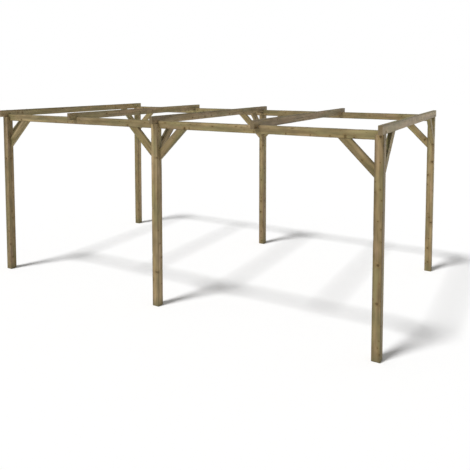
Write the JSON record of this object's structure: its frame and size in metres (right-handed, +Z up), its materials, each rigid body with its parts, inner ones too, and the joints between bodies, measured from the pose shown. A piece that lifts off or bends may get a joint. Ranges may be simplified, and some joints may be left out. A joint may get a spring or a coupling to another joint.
{
  "type": "timber carport frame",
  "caption": "Open timber carport frame: square posts rebated for two long beams, notched rafters laid across them, and mitred knee braces in every corner.",
  "frame": {"origin": "on the ground under the middle of the frame", "axes": "+X along the beams to the right, +Y from the front posts to the back posts, +Z up"},
  "size_m": [5.4, 3.07, 2.3],
  "materials": {
    "posts": "planed treated pine",
    "beams": "planed treated pine",
    "rafters": "planed treated pine",
    "braces": "planed treated pine"
  },
  "bodies": {
    "root": {"post_front_left": "posts", "post_front_middle": "posts", "post_front_right": "posts", "post_back_left": "posts", "post_back_middle": "posts", "post_back_right": "posts", "beam_front": "beams", "beam_back": "beams", "rafter_left_end": "rafters", "rafter_left_bay": "rafters", "rafter_middle": "rafters", "rafter_right_bay": "rafters", "rafter_right_end": "rafters", "brace_front_left": "braces", "brace_front_middle_left": "braces", "brace_front_middle_right": "braces", "brace_front_right": "braces", "brace_back_left": "braces", "brace_back_middle_left": "braces", "brace_back_middle_right": "braces", "brace_back_right": "braces", "cross_brace_front_left": "braces", "cross_brace_front_middle": "braces", "cross_brace_front_right": "braces", "cross_brace_back_left": "braces", "cross_brace_back_middle": "braces", "cross_brace_back_right": "braces"}
  },
  "joints": []
}
